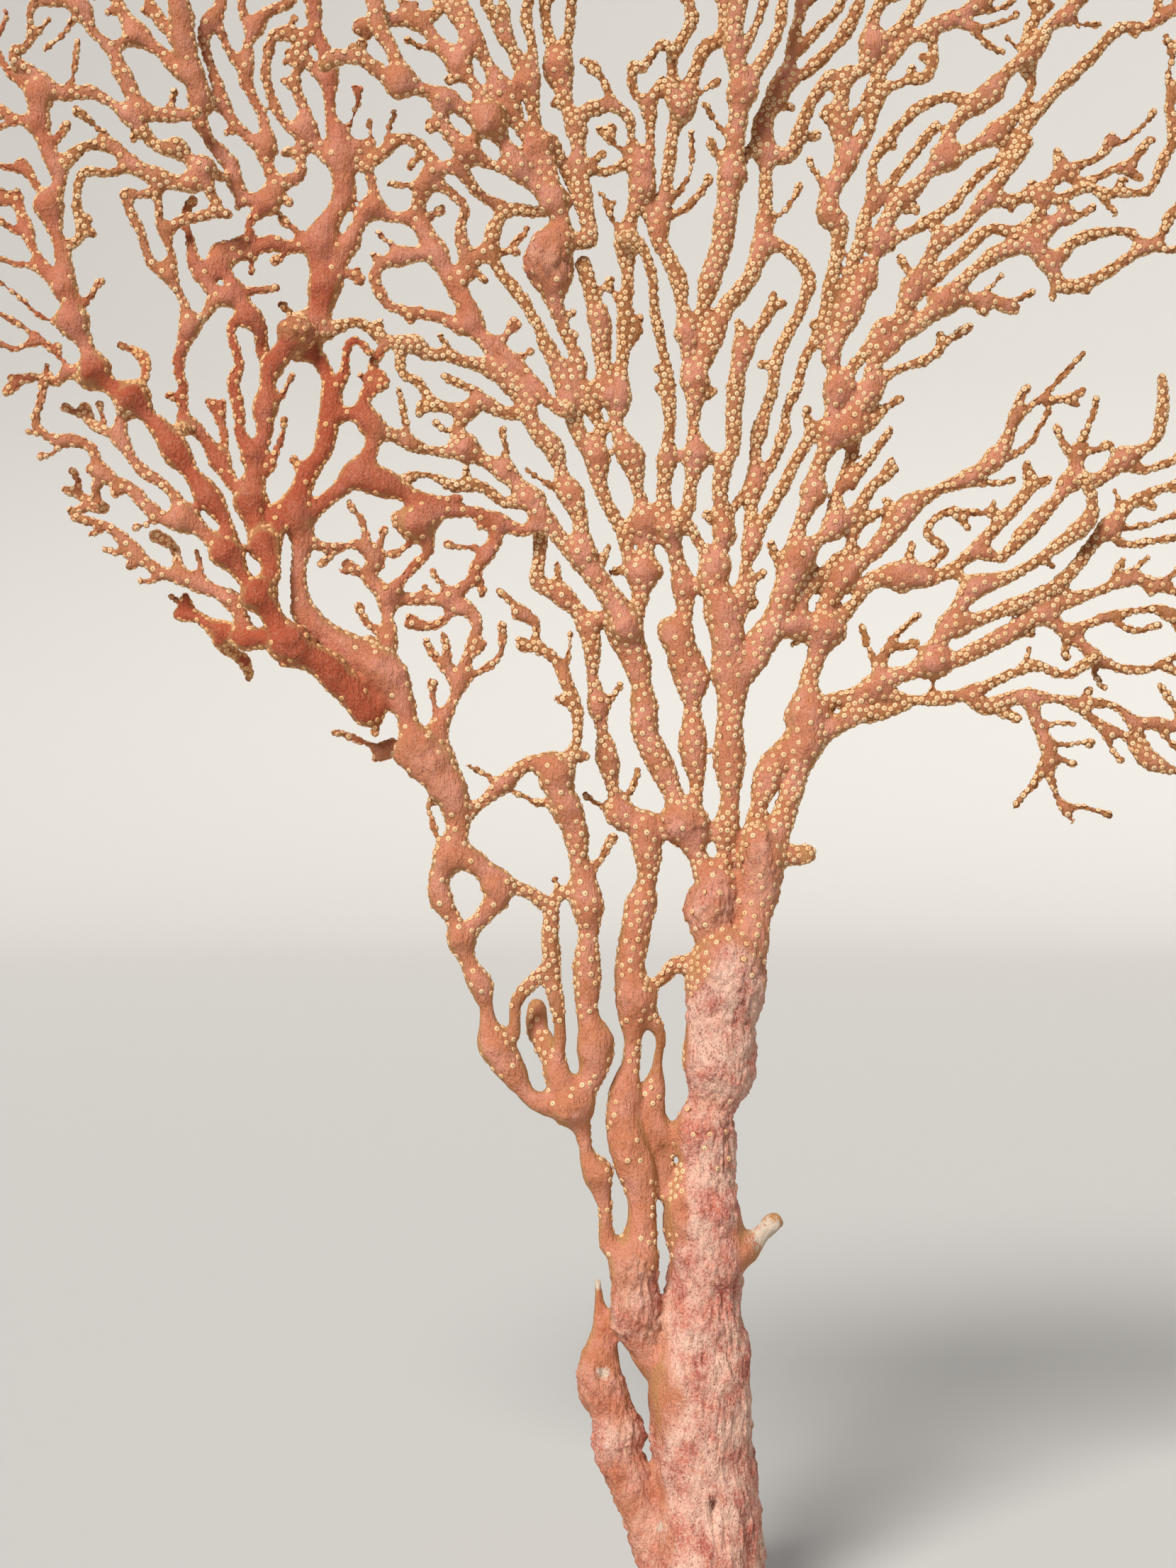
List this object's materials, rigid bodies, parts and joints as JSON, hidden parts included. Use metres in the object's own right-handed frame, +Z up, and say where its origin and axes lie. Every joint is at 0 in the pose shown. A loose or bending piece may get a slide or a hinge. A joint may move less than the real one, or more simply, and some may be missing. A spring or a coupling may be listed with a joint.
{
  "type": "sea fan",
  "caption": "Dried sea fan: a knobbly trunk cut off flat at its foot, forking into a flat net of thin branches.",
  "frame": {"origin": "middle of the flat cut at the foot of the trunk", "axes": "+Z up along the trunk, +X across the fan to the right as pictured, +Y away from the pictured side"},
  "size_m": [0.3019, 0.0568, 0.4051],
  "materials": {
    "trunk_rind": "dry, chalky and finely ribbed, rose",
    "dead_rind": "dry, abraded and pitted, dull rose",
    "stem_rind": "dry and granular, rose with ochre polyp pits",
    "limb_rind": "dry and granular, coral red with ochre polyp pits",
    "red_rind": "dry and granular, brick red with few ochre pits",
    "twig_rind": "dry and knobbly with close-set polyp pits, ochre"
  },
  "bodies": {
    "root": {"trunk": "trunk_rind", "dead_stem": "dead_rind", "left_stem": "stem_rind", "left_limb": "limb_rind", "left_upper_limb": "limb_rind", "red_limb": "red_rind", "far_left_low_limb": "twig_rind", "far_left_limb": "red_rind", "far_left_side_limb": "twig_rind", "left_edge_limb": "red_rind", "left_ring_branch": "twig_rind", "left_web": "twig_rind", "low_red_branch": "red_rind", "red_fork_branch": "red_rind", "red_upper_branch": "red_rind", "tall_red_limb": "red_rind", "upper_left_limb": "limb_rind", "upper_left_web": "twig_rind", "crown_left_stem": "twig_rind", "crown_left_limb": "twig_rind", "left_arch_branch": "twig_rind", "side_red_branch": "red_rind", "arching_branch": "twig_rind", "second_arching_branch": "twig_rind", "red_loop_branch": "red_rind", "crust_branch": "red_rind", "web_branch": "twig_rind", "inner_left_stem": "stem_rind", "left_inner_branch": "limb_rind", "left_centre_branch": "limb_rind", "middle_fork": "stem_rind", "middle_right_branch": "limb_rind", "right_stem": "stem_rind", "middle_tall_branch": "twig_rind", "tall_left_branch": "twig_rind", "knotted_branch": "limb_rind", "knotted_upper_left": "twig_rind", "knotted_web": "twig_rind", "crown_middle_left": "twig_rind", "crown_middle_branch": "twig_rind", "crown_cluster_branch": "twig_rind", "middle_crown_stem": "twig_rind", "middle_great_branch": "twig_rind", "middle_crown_branch": "twig_rind", "front_tall_branch": "twig_rind", "slender_right_branch": "twig_rind", "right_tall_branch": "limb_rind", "right_crown_web": "twig_rind", "right_crown_lattice": "twig_rind", "crown_right_branch": "twig_rind", "right_long_branch": "twig_rind", "right_arch_branch": "twig_rind", "right_hook_branch": "twig_rind", "right_low_loop_branch": "twig_rind", "right_limb": "twig_rind", "right_middle_limb": "twig_rind", "lower_right_stem": "twig_rind", "lower_right_limb": "twig_rind", "lower_right_web": "twig_rind"}
  },
  "joints": []
}
